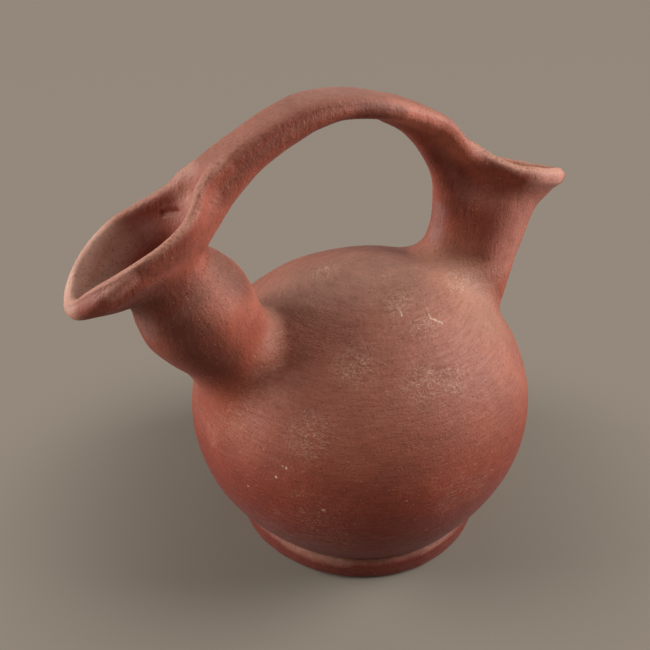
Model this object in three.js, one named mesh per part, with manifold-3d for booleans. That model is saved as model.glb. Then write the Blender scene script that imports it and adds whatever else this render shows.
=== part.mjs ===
import * as THREE from 'three';
import { mergeVertices } from 'three/addons/utils/BufferGeometryUtils.js';
import Module from 'manifold-3d';

// A hand-built earthenware bottle with two flared spouts and a strap handle that bridges them.
// The clay members are the slab foot, the two halves of the globular body, and for each spout a
// neck and a mouth, with the handle luted between the mouths.
// Millimetres, +Z up. The origin is on the table under the axis of the body, X runs from the
// left spout to the right one, and both spouts and the handle lie in the XZ plane.

const wasm = await Module();
wasm.setup();

// Clearances
const seam = 0.3;
const overrun = 12;

// Body
const bodyRadius = 100;
const bellyHeight = 75;
const domeHeight = 162;
const bodyWall = 8;
const domeCrownShare = 0.57;
const domeShoulderShare = 0.5;
const bowlBellyShare = 0.36;
const bowlHeelShare = 0.22;
const heelAngle = THREE.MathUtils.degToRad(50);

// Foot
const footRadius = 77;
const footHeight = 14;
const footEdge = 4;
const heelInset = 1;

// Spouts: each neck rises along its axis from a place on the dome's skin, between the crown at 0
// and the belly at 1. Its rim stands out and up from its waist, tilts away from the body, rolls
// toward the back and lifts where the handle leaves it.
const neckWall = 7;
const lipThickness = 8;
const spouts = {
  left: {
    side: -1,
    rootShare: 0.54,
    neckLength: 57,
    lean: THREE.MathUtils.degToRad(30),
    waistRadius: 23.3,
    bulgeRadius: 29.7,
    bulgeShare: 0.4,
    rootRadius: 27,
    rimOut: 14.5,
    rimRise: 20.5,
    rimTilt: THREE.MathUtils.degToRad(33),
    rimRoll: 0,
    rimLift: 5,
    rimHalfLength: 40.5,
    rimHalfWidth: 28,
  },
  right: {
    side: 1,
    rootShare: 0.46,
    neckLength: 42.5,
    lean: THREE.MathUtils.degToRad(13),
    waistRadius: 27,
    bulgeRadius: 26.5,
    bulgeShare: 0.33,
    rootRadius: 29.5,
    rimOut: 17.5,
    rimRise: 21.5,
    rimTilt: THREE.MathUtils.degToRad(17),
    rimRoll: THREE.MathUtils.degToRad(6),
    rimLift: 4,
    rimHalfLength: 34.5,
    rimHalfWidth: 28,
  },
};

// Handle: a strap whose ends are buried in the mouths before they are cut to them
const archRise = 44.6;
const strapWidth = 28;
const strapThickness = 13;
const strapOvalShare = 0.8;
const rootBurial = 8;

// Along the strap: place between the roots, share of the arch's rise, and the width, the depth
// above the centre line and the depth below it as shares of the strap's own
const strapShares = [
  [0, 0, 1.3, 1.6, 1.9],
  [0.077, 0.22, 1.15, 1.35, 1.4],
  [0.154, 0.5, 1, 1.2, 1.15],
  [0.256, 0.75, 0.96, 1.12, 1.1],
  [0.385, 0.92, 0.98, 1, 1.05],
  [0.526, 1, 1, 0.95, 1],
  [0.667, 0.95, 0.98, 0.9, 1.1],
  [0.782, 0.8, 0.95, 0.85, 1.5],
  [0.878, 0.58, 0.95, 0.85, 2.1],
  [0.95, 0.3, 1.05, 1, 2.4],
  [1, 0, 1.25, 1, 2.2],
];

// Facets
const bodySegments = 60;
const neckSegments = 36;
const profileSteps = 8;
const mouthSteps = 5;
const lipSteps = 4;
const strapSteps = 26;
const strapSegments = 18;

const clay = {
  foot: new THREE.MeshStandardMaterial({ color: 0x7a3c2e, roughness: 0.8, metalness: 0 }),
  bowl: new THREE.MeshStandardMaterial({ color: 0x86402f, roughness: 0.72, metalness: 0 }),
  dome: new THREE.MeshStandardMaterial({ color: 0x9a5c48, roughness: 0.78, metalness: 0 }),
  neck: new THREE.MeshStandardMaterial({ color: 0x8c4636, roughness: 0.76, metalness: 0 }),
  mouth: new THREE.MeshStandardMaterial({ color: 0x96503e, roughness: 0.82, metalness: 0 }),
  handle: new THREE.MeshStandardMaterial({ color: 0x96503e, roughness: 0.8, metalness: 0 }),
};

const up = new THREE.Vector3(0, 0, 1);
const across = new THREE.Vector3(0, 1, 0);

// Solids to and from the boolean library, without the triangles that collapse where a turned
// skin meets its axis
function solidOf(geometry) {
  const bare = geometry.clone();
  bare.deleteAttribute('normal');
  bare.deleteAttribute('uv');
  const merged = mergeVertices(bare);
  const corners = merged.index.array;
  const kept = [];
  for (let first = 0; first < corners.length; first += 3) {
    const [a, b, c] = corners.slice(first, first + 3);
    if (a !== b && b !== c && c !== a) kept.push(a, b, c);
  }
  return new wasm.Manifold(new wasm.Mesh({
    numProp: 3,
    vertProperties: new Float32Array(merged.attributes.position.array),
    triVerts: new Uint32Array(kept),
  }));
}

function geometryOf(solid) {
  const mesh = solid.getMesh();
  const geometry = new THREE.BufferGeometry();
  geometry.setAttribute('position', new THREE.BufferAttribute(mesh.vertProperties, 3));
  geometry.setIndex(new THREE.BufferAttribute(mesh.triVerts, 1));
  geometry.computeVertexNormals();
  return geometry;
}

// A profile of (radius, height) points turned about +Z
function turned(profile, segments) {
  return new THREE.LatheGeometry(profile, segments).rotateX(Math.PI / 2);
}

// Closed loops of points joined in order by bands of triangles. The last loop joins the first
// where the skin closes on itself, and otherwise flat fans close both ends.
function lofted(loops, closesOnItself) {
  const count = loops[0].length;
  const positions = loops.flat().flatMap((point) => point.toArray());
  const index = [];
  const bands = closesOnItself ? loops.length : loops.length - 1;
  for (let band = 0; band < bands; band += 1) {
    const here = band * count;
    const next = ((band + 1) % loops.length) * count;
    for (let step = 0; step < count; step += 1) {
      const turn = (step + 1) % count;
      index.push(here + step, here + turn, next + turn, here + step, next + turn, next + step);
    }
  }
  if (!closesOnItself) {
    const last = (loops.length - 1) * count;
    for (let step = 1; step < count - 1; step += 1) {
      index.push(0, step + 1, step, last, last + step, last + step + 1);
    }
  }
  const geometry = new THREE.BufferGeometry();
  geometry.setAttribute('position', new THREE.Float32BufferAttribute(positions, 3));
  geometry.setIndex(index);
  return geometry;
}

// Outer skin of the dome from the crown to the belly, moved in by an inset
function domeSkin(inset) {
  const radius = bodyRadius - inset;
  const crown = domeHeight - inset;
  const rise = crown - bellyHeight;
  return new THREE.CubicBezierCurve(
    new THREE.Vector2(0, crown),
    new THREE.Vector2(radius * domeCrownShare, crown),
    new THREE.Vector2(radius, bellyHeight + rise * domeShoulderShare),
    new THREE.Vector2(radius, bellyHeight),
  );
}

// Outer skin of the bowl from the belly down to the slab, moved in by an inset
function bowlSkin(inset) {
  const radius = bodyRadius - inset;
  const heel = new THREE.Vector2(footRadius - heelInset - inset, footHeight + seam);
  const drop = bellyHeight - seam - heel.y;
  const heelReach = drop * bowlHeelShare;
  return new THREE.CubicBezierCurve(
    new THREE.Vector2(radius, bellyHeight - seam),
    new THREE.Vector2(radius, bellyHeight - seam - drop * bowlBellyShare),
    new THREE.Vector2(
      heel.x + heelReach * Math.cos(heelAngle),
      heel.y + heelReach * Math.sin(heelAngle),
    ),
    heel,
  ).getPoints(profileSteps);
}

function footSlab() {
  const profile = new THREE.Path()
    .moveTo(0, 0)
    .lineTo(footRadius - footEdge, 0)
    .absarc(footRadius - footEdge, footEdge, footEdge, -Math.PI / 2, 0)
    .absarc(footRadius - footEdge, footHeight - footEdge, footEdge, 0, Math.PI / 2)
    .lineTo(0, footHeight);
  return turned(profile.getPoints(lipSteps / 2), bodySegments);
}

function bodyBowl() {
  const outer = bowlSkin(0).reverse();
  const inner = bowlSkin(bodyWall);
  return turned([...outer, ...inner, outer[0].clone()], bodySegments);
}

// Everything inside the body's outer skin above the slab, with a clearance around it
function bodyEnvelope() {
  const bowl = bowlSkin(-seam).reverse();
  const dome = domeSkin(-seam).getPoints(profileSteps).reverse();
  const profile = [new THREE.Vector2(0, bowl[0].y), ...bowl, ...dome];
  return solidOf(turned(profile, bodySegments));
}

function bodyDome(leftBore, rightBore) {
  const outer = domeSkin(0).getPoints(profileSteps).reverse();
  const inner = domeSkin(bodyWall).getPoints(profileSteps);
  const profile = [...outer, ...inner, outer[0].clone()];
  const shell = solidOf(turned(profile, bodySegments));
  return geometryOf(shell.subtract(leftBore).subtract(rightBore));
}

// The centre of a spout's waist, its axis, and the way across its section away from the body
function waistFrame(spout) {
  const axis = new THREE.Vector3(spout.side * Math.sin(spout.lean), 0, Math.cos(spout.lean));
  const root = domeSkin(0).getPoint(spout.rootShare);
  return {
    centre: new THREE.Vector3(spout.side * root.x, 0, root.y)
      .addScaledVector(axis, spout.neckLength),
    axis,
    outboard: new THREE.Vector3(spout.side * axis.z, 0, -spout.side * axis.x),
  };
}

// The centre of a spout's rim, the normal of its plane before it rolls, the way along it away from
// the body and the way across it
function rimFrame(spout) {
  const normal = new THREE.Vector3(
    spout.side * Math.sin(spout.rimTilt), 0, Math.cos(spout.rimTilt),
  );
  return {
    centre: waistFrame(spout).centre
      .add(new THREE.Vector3(spout.side * spout.rimOut, 0, spout.rimRise)),
    normal,
    outboard: new THREE.Vector3(spout.side * normal.z, 0, -spout.side * normal.x),
    across: new THREE.Vector3(0, Math.cos(spout.rimRoll), -Math.sin(spout.rimRoll)),
  };
}

// Radii of a neck down its axis, from the waist to well inside the dome, moved in by an inset
function neckSkin(spout, inset) {
  const deep = spout.neckLength + spout.rootRadius + overrun;
  const spine = new THREE.SplineCurve([
    new THREE.Vector2(spout.waistRadius - inset, 0),
    new THREE.Vector2(spout.bulgeRadius - inset, -spout.neckLength * spout.bulgeShare),
    new THREE.Vector2(spout.rootRadius - inset, -spout.neckLength),
    new THREE.Vector2(spout.rootRadius - inset, -deep),
  ]);
  return spine.getPoints(profileSteps + 1);
}

// Stands a shape that was turned about +Z on the waist of a spout
function stoodOnWaist(spout, geometry) {
  const frame = waistFrame(spout);
  const turn = new THREE.Quaternion().setFromUnitVectors(up, frame.axis);
  return geometry.applyQuaternion(turn).translate(...frame.centre.toArray());
}

function neckBore(spout) {
  const skin = neckSkin(spout, neckWall).reverse();
  const profile = [
    new THREE.Vector2(0, skin[0].y),
    ...skin,
    new THREE.Vector2(0, overrun),
  ];
  return solidOf(stoodOnWaist(spout, turned(profile, neckSegments)));
}

function neck(spout, envelope) {
  const outer = neckSkin(spout, 0).reverse();
  const inner = neckSkin(spout, neckWall);
  const profile = [...outer, ...inner, outer[0].clone()];
  const tube = solidOf(stoodOnWaist(spout, turned(profile, neckSegments)));
  return geometryOf(tube.subtract(envelope));
}

// One oval of a mouth: its place from the waist at 0 to the rim at 1, moved in by an inset and
// lifted along the normal
function mouthLoop(spout, place, inset, lift) {
  const waist = waistFrame(spout);
  const rim = rimFrame(spout);
  const foot = waist.centre.clone().addScaledVector(waist.axis, seam);
  const reach = foot.distanceTo(rim.centre) / 2;
  const bend = foot.clone().addScaledVector(waist.axis, reach);
  const centre = new THREE.QuadraticBezierCurve3(foot, bend, rim.centre).getPoint(place);
  const normal = waist.axis.clone().lerp(rim.normal, place).normalize();
  const outboard = waist.outboard.clone().lerp(rim.outboard, place).normalize();
  const sideways = across.clone().lerp(rim.across, place).normalize();
  const halfLength = THREE.MathUtils.lerp(spout.waistRadius, spout.rimHalfLength, place) - inset;
  const halfWidth = THREE.MathUtils.lerp(spout.waistRadius, spout.rimHalfWidth, place) - inset;
  return Array.from({ length: neckSegments }, (_, step) => {
    const angle = spout.side * step / neckSegments * 2 * Math.PI;
    return centre.clone()
      .addScaledVector(normal, lift)
      .addScaledVector(outboard, halfLength * Math.cos(angle))
      .addScaledVector(sideways, halfWidth * Math.sin(angle))
      .addScaledVector(up, spout.rimLift * (place * Math.max(0, -Math.cos(angle))) ** 2);
  });
}

function mouth(spout) {
  const loops = [];
  for (let step = 0; step <= mouthSteps; step += 1) {
    loops.push(mouthLoop(spout, step / mouthSteps, 0, 0));
  }
  for (let step = 1; step < lipSteps; step += 1) {
    const angle = step / lipSteps * Math.PI;
    const inset = lipThickness / 2 * (1 - Math.cos(angle));
    loops.push(mouthLoop(spout, 1, inset, lipThickness / 2 * Math.sin(angle)));
  }
  for (let step = mouthSteps; step >= 0; step -= 1) {
    const place = step / mouthSteps;
    const wall = THREE.MathUtils.lerp(neckWall, lipThickness, place);
    loops.push(mouthLoop(spout, place, wall, 0));
  }
  return lofted(loops, true);
}

// Everything inside a mouth's outer skin and straight above its rim, with a clearance around it
function mouthEnvelope(spout) {
  const loops = [mouthLoop(spout, 0, -seam, -spout.waistRadius)];
  for (let step = 0; step <= mouthSteps; step += 1) {
    loops.push(mouthLoop(spout, step / mouthSteps, -seam, 0));
  }
  loops.push(mouthLoop(spout, 1, -seam, spout.rimHalfLength));
  return solidOf(lofted(loops, false));
}

// Where the strap's centre line ends inside a mouth, behind the middle of its inner side
function strapRoot(spout) {
  const waist = waistFrame(spout);
  const rim = rimFrame(spout);
  const low = waist.centre.clone().addScaledVector(waist.outboard, -spout.waistRadius);
  const high = rim.centre.clone()
    .addScaledVector(rim.outboard, -spout.rimHalfLength)
    .addScaledVector(up, spout.rimLift);
  const middle = low.lerp(high, 1 / 2);
  middle.x += spout.side * rootBurial;
  return middle;
}

// A cosine or sine pushed outward, which turns an ellipse into a flatter-sided oval
function squared(value) {
  return Math.sign(value) * Math.abs(value) ** strapOvalShare;
}

function strapSection(centre, tangent, halfWidth, above, below) {
  const normal = tangent.clone().cross(across).normalize();
  return Array.from({ length: strapSegments }, (_, step) => {
    const angle = step / strapSegments * 2 * Math.PI;
    const depth = Math.sin(angle) > 0 ? above : below;
    return centre.clone()
      .addScaledVector(across, halfWidth * squared(Math.cos(angle)))
      .addScaledVector(normal, depth * squared(Math.sin(angle)));
  });
}

function bridgeHandle(left, right) {
  const from = strapRoot(left);
  const to = strapRoot(right);
  const line = strapShares.map(([along, rise]) => {
    const base = from.clone().lerp(to, along);
    return base.addScaledVector(up, archRise * rise);
  });
  const sizes = strapShares.map(([, , width, above, below]) => new THREE.Vector3(
    width * strapWidth / 2, above * strapThickness / 2, below * strapThickness / 2,
  ));
  const arch = new THREE.CatmullRomCurve3(line);
  const growth = new THREE.CatmullRomCurve3(sizes);
  const loops = Array.from({ length: strapSteps + 1 }, (_, step) => {
    const place = step / strapSteps;
    const size = growth.getPoint(place);
    return strapSection(arch.getPoint(place), arch.getTangent(place), ...size.toArray());
  });
  const strap = solidOf(lofted(loops, false));
  return geometryOf(strap.subtract(mouthEnvelope(left)).subtract(mouthEnvelope(right)));
}

function named(name, geometry, material) {
  const mesh = new THREE.Mesh(geometry, material);
  mesh.name = name;
  return mesh;
}

const bottle = new THREE.Group();
bottle.add(named('foot_slab', footSlab(), clay.foot));
bottle.add(named('body_bowl', bodyBowl(), clay.bowl));
bottle.add(named('body_dome', bodyDome(neckBore(spouts.left), neckBore(spouts.right)), clay.dome));
for (const [name, spout] of Object.entries(spouts)) {
  bottle.add(named(`neck_${name}`, neck(spout, bodyEnvelope()), clay.neck));
  bottle.add(named(`mouth_${name}`, mouth(spout), clay.mouth));
}
bottle.add(named('bridge_handle', bridgeHandle(spouts.left, spouts.right), clay.handle));

export default bottle;
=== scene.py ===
"""A hand-built earthenware bottle: a round body on a slab foot, a flared spout on each shoulder and a
strap handle that bridges the two mouths. Lengths are millimetres until a mesh is made."""

import math

import bpy
import numpy as np
from mathutils import Matrix, Vector


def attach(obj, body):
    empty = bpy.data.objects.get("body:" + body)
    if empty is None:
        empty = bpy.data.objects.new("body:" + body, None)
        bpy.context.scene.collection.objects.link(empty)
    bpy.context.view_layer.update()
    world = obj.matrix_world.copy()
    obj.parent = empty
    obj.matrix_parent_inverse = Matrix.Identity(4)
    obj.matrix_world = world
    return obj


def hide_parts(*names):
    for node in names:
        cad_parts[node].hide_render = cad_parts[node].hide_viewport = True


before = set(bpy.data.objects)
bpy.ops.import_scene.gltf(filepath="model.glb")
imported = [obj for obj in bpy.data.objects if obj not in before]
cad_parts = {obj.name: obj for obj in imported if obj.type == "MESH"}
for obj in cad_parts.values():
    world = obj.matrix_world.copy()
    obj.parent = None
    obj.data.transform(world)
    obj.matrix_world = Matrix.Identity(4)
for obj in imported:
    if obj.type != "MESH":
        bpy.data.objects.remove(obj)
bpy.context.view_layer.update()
MM = 0.001

# Camera: the photograph's place, aim, slight roll and lens
CAMERA_PLACE = (-162.7, -281.8, 331.5)
CAMERA_AIM = (-6.9, 30.1, 108.3)
CAMERA_ROLL = math.radians(-0.28)
LENS_MM = 37.38


def look(place, aim, roll):
    """Matrix of something at a place, with -Z toward an aim and +Y upward, turned about its own axis by a roll."""
    place, aim = Vector(place) * MM, Vector(aim) * MM
    turn = (aim - place).to_track_quat("-Z", "Y").to_matrix().to_4x4()
    return Matrix.Translation(place) @ turn @ Matrix.Rotation(roll, 4, "Z")


def set_camera():
    data = bpy.data.cameras.new("camera")
    data.lens = LENS_MM
    data.clip_start, data.clip_end = 0.01, 20
    camera = bpy.data.objects.new("camera", data)
    camera.matrix_world = look(CAMERA_PLACE, CAMERA_AIM, CAMERA_ROLL)
    bpy.context.scene.collection.objects.link(camera)
    bpy.context.scene.camera = camera
    bpy.context.scene.view_settings.view_transform = "Standard"


set_camera()

# Shape of the clay
# The members of the bottle were luted together wet and smoothed over, so that no edge shows where
# they meet. A grid or a swept profile of each alone can't give that, so the skin is where a field
# of distances is zero: each member has a formula for the distance to its own skin, and the members'
# distances are blended. The bowl and the foot, which no spout reaches, are plain turned grids.
BELLY = 75.0
WALL = 8.0
LIP_CUT = 1.5


def curve(*knots):
    """A curve through (place, value) pairs: cubic between them, with slopes that are the harmonic mean of the slopes
    to both sides, so that it never swings past a value. Beyond its ends it stays level."""
    x, y = np.array(knots, float).T
    step = np.diff(x)
    rise = np.diff(y) / step
    slope = np.zeros_like(y)
    both = rise[1:] * rise[:-1]
    slope[1:-1] = np.where(both > 0, 2 * both / np.where(both > 0, rise[1:] + rise[:-1], 1), 0)
    slope[0], slope[-1] = rise[0], rise[-1]

    def at(place):
        t = np.clip(place, x[0], x[-1])
        k = np.clip(np.searchsorted(x, t, side="right") - 1, 0, len(x) - 2)
        u = (t - x[k]) / step[k]
        return (y[k] * (1 + 2 * u) * (1 - u) ** 2 + y[k + 1] * u * u * (3 - 2 * u)
                + step[k] * (slope[k] * u * (1 - u) ** 2 - slope[k + 1] * u * u * (1 - u)))
    return at


def meet(a, b, reach):
    """Union of two skins with a fillet: the lesser distance, less a parabola where they differ by under reach."""
    share = np.clip(0.5 + 0.5 * (b - a) / reach, 0, 1)
    return b + (a - b) * share - reach * share * (1 - share)


def carve(a, b, reach):
    """The first skin with the second cut out of it, and the edge between them rounded."""
    return -meet(-a, b, reach)


# Steps that a curve is cut into for each of its points, before even samples are taken
FINE = 40


def evenly(points, count):
    """Evenly spaced samples of a Catmull-Rom curve through points, with their run along it."""
    p = np.asarray(points, float)
    p = np.vstack([2 * p[0] - p[1], p, 2 * p[-1] - p[-2]])
    u = np.linspace(0, len(p) - 3, FINE * len(p))
    k = np.minimum(u.astype(int), len(p) - 4)
    t = (u - k)[:, None]
    a, b, c, d = p[k], p[k + 1], p[k + 2], p[k + 3]
    line = 0.5 * (2 * b + (c - a) * t + (2 * a - 5 * b + 4 * c - d) * t ** 2 + (3 * b - a - 3 * c + d) * t ** 3)
    run = np.concatenate([[0], np.cumsum(np.linalg.norm(np.diff(line, axis=0), axis=1))])
    place = np.linspace(0, run[-1], count)
    return np.stack([np.interp(place, run, line[:, i]) for i in range(line.shape[1])], 1), place


# Points that are matched with a line's samples in one go, so that the table of distances stays small
AT_ONCE = 60000


def nearest(points, line, run):
    """Run along a line nearest to each point: that of the nearest sample, refined along the tangent there."""
    tangent = np.gradient(line, run[1], axis=0)
    best = np.empty(len(points), int)
    for first in range(0, len(points), AT_ONCE):
        part = points[first:first + AT_ONCE]
        squares = sum((part[:, i:i + 1] - line[None, :, i]) ** 2 for i in range(line.shape[1]))
        best[first:first + AT_ONCE] = squares.argmin(1)
    return np.clip(run[best] + ((points - line[best]) * tangent[best]).sum(1), 0, run[-1])


# Body: reach of its skin from the middle of the belly, by the sine of the angle above the belly
BODY_REACH = np.polyfit([-0.624, -0.357, 0.0, 0.643, 1.0], [96.4, 97.2, 99.4, 92.7, 87.9], 4)

# Hand work: slow swells, their number, lengths and height, and the share of them on the inner skin and the strap
SWELLS, SWELL_SHORT, SWELL_LONG, SWELL_SIZE = 12, 34, 95, 0.085
INNER_SWELL, STRAP_SWELL = 0.5, 0.7
draws = np.random.default_rng(11)
SWELL_WAYS = draws.normal(size=(SWELLS, 3))
SWELL_WAYS *= 2 * np.pi / np.linalg.norm(SWELL_WAYS, axis=1)[:, None]
SWELL_WAYS /= np.linspace(SWELL_SHORT, SWELL_LONG, SWELLS)[:, None]
SWELL_STARTS = draws.uniform(0, 2 * np.pi, SWELLS)


def hand(x, y, z):
    """Unevenness of hand work: a sum of slow sine waves that run in seeded directions."""
    total = np.zeros_like(x)
    for way, start in zip(SWELL_WAYS, SWELL_STARTS):
        total += SWELL_SIZE * np.sin(way[0] * x + way[1] * y + way[2] * z + start)
    return total


# The body leans a little as it rises, to the right of the camera's view: lean by height, along a level way
BODY_LEAN = curve((0, 1.2), (14, 0.8), (32, -0.6), (52, -0.6), (80, 0), (105, 1.2), (125, 1.8), (140, 3.0),
                  (150, 6.5), (160, 9.5))
LEAN_WAY = (0.893, -0.449)


def body_skin(x, y, z):
    """Distance from the middle of the belly, moved by the lean, less the body's reach in that direction."""
    lean = BODY_LEAN(z)
    x, y, rise = x - LEAN_WAY[0] * lean, y - LEAN_WAY[1] * lean, z - BELLY
    far = np.sqrt(x * x + y * y + rise * rise)
    return far - np.polyval(BODY_REACH, rise / np.maximum(far, 1))


# Spouts. Height is along the axis from the centre. The outer and the inner skin have half-lengths
# away from the body and toward it, and a half-width, by height. Their points say how far a section
# is drawn from an oval to a point at those two ends, and the shift moves the sections away from the
# body. The rim's top has a height by x and rolls by y, and the lip is a bead along a line of
# (x, half-width), sunk below the rim's top by x, and on the far side sunk and moved out once more.
# The fillet's reach goes by the distance out from the axis, and the box holds all of the spout.
LEFT_NECK = ((-70, 27), (-37, 27), (-26, 26.3), (-12, 28.6), (0, 29.7))
LEFT_BACK = ((-70, 27), (-37, 27), (-26, 25.6), (-12, 27.6), (0, 28.8))
LEFT_BORE = ((-70, 20), (-26, 19.3), (0, 22.7), (13.5, 19.3))
RIGHT_NECK = ((-70, 30), (-30, 29), (-16, 26.7))
RIGHT_BACK = ((-70, 23), (-40, 22.4), (-26, 23.8), (-12, 26.6), (0, 29.1), (14, 30.8))
RIGHT_BORE = ((-70, 14.5), (-40, 14.5), (-26, 15.5), (-6, 18), (10, 18.5))
LEFT = {
    "side": -1, "centre": (-93.0, 161.0), "lean": math.radians(30.7), "waist": 22.0, "roll": 0.0,
    "outer_points": (-0.25, 0.15), "inner_points": (0.42, 0.15),
    "shift": curve((20, 0), (50, 0)),
    "outer": (
        curve(*LEFT_NECK, (13.5, 26.3), (21, 23), (27, 22.1), (29.5, 23.6), (31.5, 28), (33.5, 33), (37, 37.8),
              (40, 40.6), (43.2, 41.6), (46, 42.2), (49, 42.6), (56, 43)),
        curve(*LEFT_BACK, (13.5, 26), (22, 23.3), (28, 24.9), (31, 28.6), (33, 32), (36, 36.6), (40, 40.6),
              (44, 42.8), (48, 44), (50, 45), (52, 50), (55, 58)),
        curve(*LEFT_NECK, (13.5, 26.3), (21, 23), (29, 22.6), (34, 23.4), (37.5, 25.4), (40.5, 27.4), (45, 28.1),
              (54, 28.4)),
    ),
    "inner": (
        curve(*LEFT_BORE, (22, 15.8), (26, 16.2), (30, 18.2), (33, 21.6), (35.5, 26), (38, 31), (40.4, 34.6),
              (43.2, 37), (46, 38.2), (49, 38.8), (56, 39.4)),
        curve(*LEFT_BORE, (22, 16), (28, 17.5), (34, 22), (40, 30), (44, 35), (48, 38), (50, 39.4), (52, 41.4),
              (54, 44.4), (56, 48.5), (58, 54), (61, 64)),
        curve(*LEFT_BORE, (22, 16), (30, 17.4), (36, 19.2), (42, 21.8), (47, 23.9), (54, 25.5), (60, 27)),
    ),
    "top": curve((-160, 161), (-152, 172.6), (-150, 175.8), (-145, 183.4), (-140, 189.4), (-130, 197), (-120, 203),
                 (-110, 207.7), (-100, 213), (-95, 216.3), (-92, 219), (-90, 221.8), (-88, 224.6), (-86, 226.5),
                 (-84, 228.4), (-82, 230.2), (-70, 238), (-60, 243)),
    "lip": [(-148.2, 0), (-147.6, 5), (-145.7, 10.5), (-142, 15), (-137, 19), (-130, 23), (-120, 26), (-110, 26),
            (-100, 23.5), (-95, 20.5), (-91, 16), (-88, 12.5), (-85, 10.3), (-80, 9), (-74, 8.4)],
    "bead": curve((-150, 3.4), (-143, 3.2), (-132, 2.6), (-120, 2.0), (-100, 1.9), (-85, 1.9), (-76, 1.8),
                  (-66, 1.6)),
    "sink": curve((-150, 0), (-92, 0), (-84, 1.2), (-76, 3), (-66, 6)),
    "far_sink": curve((-150, 0.2), (-138, 1.5), (-104, 1.7), (-96, 1.3), (-86, 1.8), (-78, 3.4), (-66, 4)),
    "far_out": curve((-150, 0), (-96, 0), (-90, 0.8), (-84, 1.4), (-76, 1), (-66, 0)),
    "fillet": curve((-30, 6), (-5, 13), (30, 13)),
    "box": ((-157, -40, 95), (-40, 40, 246)),
}
RIGHT = {
    "side": 1, "centre": (74.5, 165.0), "lean": math.radians(10.5), "waist": 20.0, "roll": -0.136,
    "outer_points": (0.0, 0.5), "inner_points": (0.0, 0.5),
    "shift": curve((15, 0), (22, 1), (32, 6), (42, 9), (60, 9)),
    "outer": (
        curve(*RIGHT_BACK, (20, 31.3), (26, 32.6), (32, 34.6), (37, 35.5), (43, 35.8), (55, 36)),
        curve(*RIGHT_NECK, (-6, 24.5), (5, 24.5), (14, 25.5), (20, 27), (26, 29.5), (32, 32.5), (38, 34.5),
              (46, 35.5), (55, 36)),
        curve(*RIGHT_NECK, (-6, 24.5), (5, 24.3), (14, 24.6), (22, 24.8), (28, 25), (32, 25.6), (36, 27.2),
              (40, 28.6), (55, 28.8)),
    ),
    "inner": (
        curve(*RIGHT_BORE, (20, 19.5), (26, 21), (32, 24), (38, 28), (44, 31.5), (55, 36)),
        curve(*RIGHT_BORE, (20, 19), (26, 20.5), (34, 24.5), (42, 28), (50, 31.5), (60, 37)),
        curve(*RIGHT_BORE, (20, 19), (30, 20.5), (38, 22), (46, 23.5), (60, 27)),
    ),
    "top": curve((50, 228), (55, 225), (60, 220.6), (64, 217), (67, 214.5), (70, 212.2), (74, 209.9), (80, 207.5),
                 (87, 206), (95, 204.1), (102, 202.8), (108, 201.4), (114, 199.6), (119, 197.4), (123, 195.6),
                 (132, 190)),
    "lip": [(117, 0), (116.4, 6), (114.9, 12.5), (113.4, 17.7), (108, 22), (102, 24.7), (95, 26), (87, 25.7),
            (80, 24), (74, 20.8), (70, 17), (67, 13.8), (63, 11), (58, 9), (53, 7)],
    "bead": curve((45, 2.0), (55, 2.4), (64, 3.0), (80, 3.7), (100, 3.7), (126, 3.3)),
    "sink": curve((45, 7), (53, 4), (60, 2), (68, 0.4), (74, 0), (126, 0)),
    "far_sink": curve((45, 2), (66, 1.2), (80, 0.8), (100, 1.4), (126, 2)),
    "far_out": curve((45, 0), (126, 0)),
    "fillet": curve((-30, 18), (-12, 15), (5, 9), (16, 3), (30, 1.5)),
    "box": ((28, -42, 95), (132, 42, 240)),
}
SPOUTS = (LEFT, RIGHT)
LIP_SAMPLES, STRAP_SAMPLES, WEB_SAMPLES = 150, 160, 70


def lip_line(spout):
    """The middle line of the lip's bead, round the mouth from the strap to the strap, and the bead's radius."""
    half = np.array(spout["lip"], float)
    plan = np.vstack([half[::-1] * (1, -1), half[1:]])
    along = plan[:, 0]
    height = spout["top"](along) + spout["roll"] * plan[:, 1] - spout["bead"](along) - spout["sink"](along)
    far = plan[:, 1] > 0
    height -= np.where(far, spout["far_sink"](along), 0)
    plan[:, 1] += np.where(far, spout["far_out"](along), 0)
    line, run = evenly(np.column_stack([plan, height]), LIP_SAMPLES)
    return line, run, spout["bead"](line[:, 0])


for spout in SPOUTS:
    spout["line"] = lip_line(spout)

# Strap: the line of its top in (x, z), its half-width and half-depth by x, and the depth of its
# dished top. The web is the rib under it that runs down the right neck: (x, z, radius).
CREST = [(-100, 211), (-92, 219), (-83, 228.3), (-76, 233.8), (-65, 242), (-53, 248.7), (-44, 252.3), (-34, 255.2),
         (-22, 256), (-10, 255.5), (2, 253.6), (17, 249.5), (33, 243.6), (45, 237.4), (55, 227.6), (61, 221),
         (69, 214.6), (79, 210.5), (88, 205)]
STRAP_WIDE = curve((-100, 15), (-90, 14), (-83, 13.5), (-76, 13.2), (-65, 13.2), (-40, 13.6), (-10, 14), (30, 13.6),
                   (50, 13.4), (60, 14.2), (70, 16), (80, 18))
STRAP_DEEP = curve((-100, 9.6), (-83, 9.6), (-70, 8.9), (-50, 8.7), (-32, 7.7), (-16, 6.3), (-4, 6.1), (5, 5.9),
                   (30, 5.5), (60, 5.6), (80, 6.2))
STRAP_DISH = curve((-100, 0.5), (-84, 0.5), (-70, 0.8), (-40, 0.8), (0, 0.7), (30, 0.9), (60, 2), (75, 3))
STRAP_POWER = 2.5
DISH_WIDE, DISH_SOFT = 7.5, 1.5
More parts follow.
